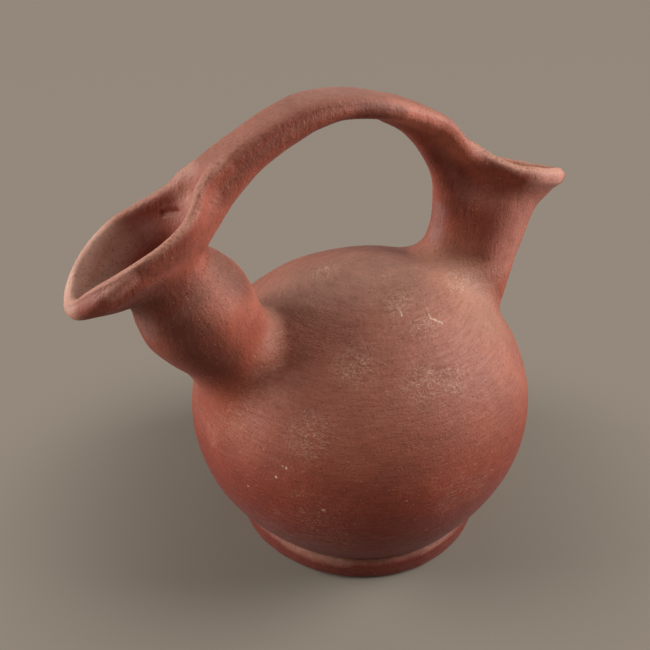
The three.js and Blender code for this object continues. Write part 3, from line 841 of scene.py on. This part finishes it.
def terracotta():
    """Iron-rich earthenware, fired low in an open fire, unglazed: smoothed with a wet hand and burnished with a
    pebble. The fire left it deep red-brown low down, duller above and smoky in places, and the darkest red at the
    heel is partly painted shade. The strokes leave a faint soft gloss and fine lines, and use has left pale dust in
    scratches, on what faces up and on the lips; the pale on what faces up and on the lips' tops is partly painted
    light from above. Some patches are painted shade under overhangs and in hollows, others painted light on dim
    faces."""
    material = bpy.data.materials.new("burnished_terracotta")
    material.use_nodes = True
    tree = material.node_tree
    tree.nodes.clear()
    place = add(tree, "TexCoord").outputs["Object"]
    skin = add(tree, "NewGeometry").outputs["Normal"]
    facing = add(tree, "SeparateXYZ", {0: skin}).outputs["Z"]
    height = add(tree, "SeparateXYZ", {0: place}).outputs["Z"]
    # fire clouds 50 mm across, mottling 12 mm across, grain of 1.2 mm: real temper is 0.5 mm, too fine to show
    clouds = add(tree, "TexNoise", {"Vector": place, "Scale": 20, "Detail": 3, "Roughness": 0.5})
    mottle = add(tree, "TexNoise", {"Vector": place, "Scale": 85, "Detail": 5, "Roughness": 0.65})
    grain = add(tree, "TexNoise", {"Vector": place, "Scale": 820, "Detail": 2, "Roughness": 0.7})
    # burnishing strokes: 1.2 mm high and nine times as long, running level round the body
    level = add(tree, "Mapping", {"Vector": place, "Scale": (1, 1, 9)})
    stroke_noise = {"Scale": 95, "Detail": 4, "Roughness": 0.7, "Distortion": 0.3}
    round_body = add(tree, "TexNoise", {"Vector": level, **stroke_noise})
    # on the necks and the strap they run along
    along = add(tree, "Mapping", {"Vector": place, "Scale": (4.5, 8, 1.1)})
    up_neck = add(tree, "TexNoise", {"Vector": along, **stroke_noise})
    raised = add(tree, "Attribute", attribute_name="raised").outputs["Fac"]
    strokes = add(tree, "Mix", {0: raised, "A": round_body, "B": up_neck})
    # colour of the fired clay by height, from the heel up to the crest; the darkest red at the heel is partly painted
    # shade
    tone = add(tree, "MapRange", {0: height, 1: 0.0, 2: 0.26, 3: 0.0, 4: 1.0})
    coat = add(tree, "ValToRGB", {0: tone}, stops=(
        (0.0, srgb("#63190c")), (0.22, srgb("#7a2111")), (0.42, srgb("#9b4831")), (0.62, srgb("#9f533f")),
        (1.0, srgb("#9c5443"))))
    cloudy = add(tree, "MapRange", {0: clouds, 1: 0.38, 2: 0.6, 3: 0.52, 4: 0.0})
    layers = [(cloudy, "#7a2f1f")]
    for start, end, inner, outer, colour, share in STAINS_AND_PAINTED_LIGHT_AND_SHADE:
        spot = near(tree, place, start, end, inner, outer)
        layers.append((add(tree, "Math", {0: spot, 1: share}, operation="MULTIPLY"), colour))
    # dark mottling, and strokes that stand out pale or lie sunk and dark
    dark = add(tree, "MapRange", {0: mottle, 1: 0.34, 2: 0.56, 3: 0.26, 4: 0.0})
    lines = add(tree, "MapRange", {0: strokes, 1: 0.52, 2: 0.72, 3: 0.0, 4: 0.3})
    sunk = add(tree, "MapRange", {0: strokes, 1: 0.3, 2: 0.46, 3: 0.26, 4: 0.0})
    # pale dust and painted light from above: thin on all that faces up, a little uneven
    up = add(tree, "MapRange", {0: facing, 1: 0.1, 2: 1.0, 3: 0.0, 4: 0.32})
    patchy = add(tree, "MapRange", {0: round_body, 1: 0.36, 2: 0.64, 3: 0.72, 4: 1.1})
    dust_and_painted_sheen = add(tree, "Math", {0: up, 1: patchy}, operation="MULTIPLY", use_clamp=True)
    # scuffs: a web of hair scratches about 5 mm long, 0.2 mm wide on the real bottle and drawn at 0.5 mm to show
    slanted = add(tree, "Mapping", {"Vector": place, "Rotation": (0.4, 0.3, 0), "Scale": (1, 1, 3.0)})
    hairs = {"Scale": 170, "Detail": 3, "Roughness": 0.65, "Distortion": 1.6}
    wander = add(tree, "TexNoise", {"Vector": slanted, **hairs})
    middle = add(tree, "Math", {0: wander, 1: 0.5}, operation="SUBTRACT")
    thread = add(tree, "Math", {0: middle}, operation="ABSOLUTE")
    web = add(tree, "MapRange", {0: thread, 1: 0.006, 2: 0.032, 3: 1.0, 4: 0.0})
    patches = add(tree, "MapRange", {0: clouds, 1: 0.54, 2: 0.64, 3: 0.08, 4: 0.5})
    patches = add(tree, "Mix", {0: raised, "A": patches, "B": 0.0})
    for centre, reach in SCUFFS:
        beside = (centre[0] + 4, centre[1] + 2, centre[2])
        spot = near(tree, place, centre, beside, 1, reach)
        patches = add(tree, "Math", {0: patches, 1: spot}, operation="MAXIMUM")
    scuffed = add(tree, "Math", {0: patches, 1: web}, operation="MULTIPLY")
    filled = add(tree, "Math", {0: scuffed, 1: patchy}, operation="MULTIPLY", use_clamp=True)
    worn = add(tree, "Math", {0: filled, 1: 0.7}, operation="MULTIPLY")
    marks = add(tree, "MapRange", {0: grain, 1: 0.68, 2: 0.74, 3: 0.0, 4: 0.55})
    for start, end, wide in SCRATCHES:
        stroke = near(tree, place, start, end, 0.4 * wide, 2 * wide)
        marks = add(tree, "Math", {0: marks, 1: stroke}, operation="MAXIMUM")
    broken = add(tree, "MapRange", {0: grain, 1: 0.38, 2: 0.58, 3: 0.3, 4: 0.85})
    faint = add(tree, "Math", {0: marks, 1: broken}, operation="MULTIPLY")
    # lips: rubbed pale along the edge, granular, and painted as a highlight where the lip's top faces up
    lip = add(tree, "Attribute", attribute_name="lip").outputs["Fac"]
    crumbs = add(tree, "MapRange", {0: grain, 1: 0.35, 2: 0.65, 3: 0.4, 4: 1.0})
    upward = add(tree, "MapRange", {0: facing, 1: 0.45, 2: 0.85, 3: 0.0, 4: 1.0})
    edge = add(tree, "Math", {0: lip, 1: upward}, operation="MULTIPLY")
    rub_and_painted_highlight = add(tree, "Math", {0: edge, 1: crumbs}, operation="MULTIPLY")
    pits = add(tree, "MapRange", {0: grain, 1: 0.3, 2: 0.42, 3: 0.5, 4: 0.0})
    # each layer lies over those before it
    layers += [(dark, "#64291b"), (lines, "#b0583d"), (sunk, "#5c2417"), (dust_and_painted_sheen, "#b48f79"),
               (worn, "#c9a48c"), (faint, "#d9b89c"), (rub_and_painted_highlight, "#c48b74"), (pits, "#4f2015")]
    for share, colour in layers:
        coat = add(tree, "Mix", {0: share, "A": coat, "B": srgb(colour)}, data_type="RGBA")
    gloss = add(tree, "MapRange", {0: strokes, 1: 0.3, 2: 0.7, 3: 0.68, 4: 0.5})
    # unevenness too fine for the mesh: dents of the hand, strokes and grain
    dents = add(tree, "Bump", {"Height": mottle, "Distance": 0.0012, "Strength": 0.55})
    ridges = add(tree, "Bump", {"Height": strokes, "Distance": 0.0008, "Strength": 0.5, "Normal": dents})
    rough = add(tree, "Bump", {"Height": grain, "Distance": 0.0005, "Strength": 0.5, "Normal": ridges})
    shader = add(tree, "BsdfPrincipled", {
        "Base Color": coat, "Roughness": gloss, "IOR": 1.5, "Specular IOR Level": 0.25,
        "Sheen Weight": 0.05, "Sheen Roughness": 0.5, "Normal": rough})
    add(tree, "OutputMaterial", {"Surface": shader})
    return material


# Lights: name, way from the bottle as (right, away, up) in the camera's level directions, size in metres, watts
RIGHTWARD, AWAY = np.array((*LEAN_WAY, 0)), np.array((0.447, 0.894, 0))
LAMPS = (
    ("right_softbox", (1450, 100, 880), 0.9, 39.0),
    ("left_softbox", (-1400, 0, 650), 0.9, 27.0),
    ("overhead_panel", (0, 900, 1900), 1.4, 4.5),
    ("front_fill", (0, -1700, 1000), 1.4, 3.6),
)
# Floor: metres from the middle at which the lit paper ends and the plain colour is reached, and its greatest share
SHADOW_TO, PLAIN_FROM, PLAIN_MOST = 0.115, 0.28, 0.97
FLOOR_SIZE = 8
LIT_AT = (0, 0, 110)


def floor_and_light():
    """A level floor that the bottle stands on, softboxes to the right and left, a panel overhead and a weak fill."""
    bpy.ops.mesh.primitive_plane_add(size=FLOOR_SIZE, location=(0, 0, 0))
    ground = bpy.context.object
    ground.name = "floor"
    paint = bpy.data.materials.new("floor_paper")
    paint.use_nodes = True
    shader = paint.node_tree.nodes["Principled BSDF"]
    shader.inputs["Base Color"].default_value = srgb("#7f766a")
    shader.inputs["Roughness"].default_value = 0.9
    shader.inputs["Specular IOR Level"].default_value = 0.2
    # to the camera the paper is as lit near the bottle, so that it keeps the shadow, and as written far from it
    tree = paint.node_tree
    plain = add(tree, "Emission", {"Color": srgb("#94897c"), "Strength": 1.0})
    ray = add(tree, "LightPath").outputs["Is Camera Ray"]
    spot = add(tree, "TexCoord").outputs["Object"]
    off = add(tree, "VectorMath", {0: spot}, operation="LENGTH")
    away = add(tree, "MapRange", {0: off, 1: SHADOW_TO, 2: PLAIN_FROM, 3: 0.0, 4: PLAIN_MOST},
               interpolation_type="SMOOTHSTEP")
    plain_share = add(tree, "Math", {0: ray, 1: away}, operation="MULTIPLY")
    mixed = add(tree, "MixShader", {0: plain_share, 1: shader.outputs[0], 2: plain})
    tree.links.new(mixed.outputs[0], tree.nodes["Material Output"].inputs["Surface"])
    ground.data.materials.append(paint)
    world = bpy.data.worlds.new("studio")
    world.use_nodes = True
    world.node_tree.nodes["Background"].inputs["Color"].default_value = srgb("#f4f1ec")
    world.node_tree.nodes["Background"].inputs["Strength"].default_value = 0.1
    bpy.context.scene.world = world
    for name, (right, away, up), size, power in LAMPS:
        data = bpy.data.lights.new(name, "AREA")
        data.shape, data.size, data.energy = "SQUARE", size, power
        lamp = bpy.data.objects.new(name, data)
        lamp.matrix_world = look(RIGHTWARD * right + AWAY * away + (0, 0, up), LIT_AT, 0)
        bpy.context.scene.collection.objects.link(lamp)


clay_material = terracotta()
pieces = list(upper_members().values()) + [bowl(), foot()]
for piece in pieces:
    piece.data.materials.append(clay_material)
floor_and_light()
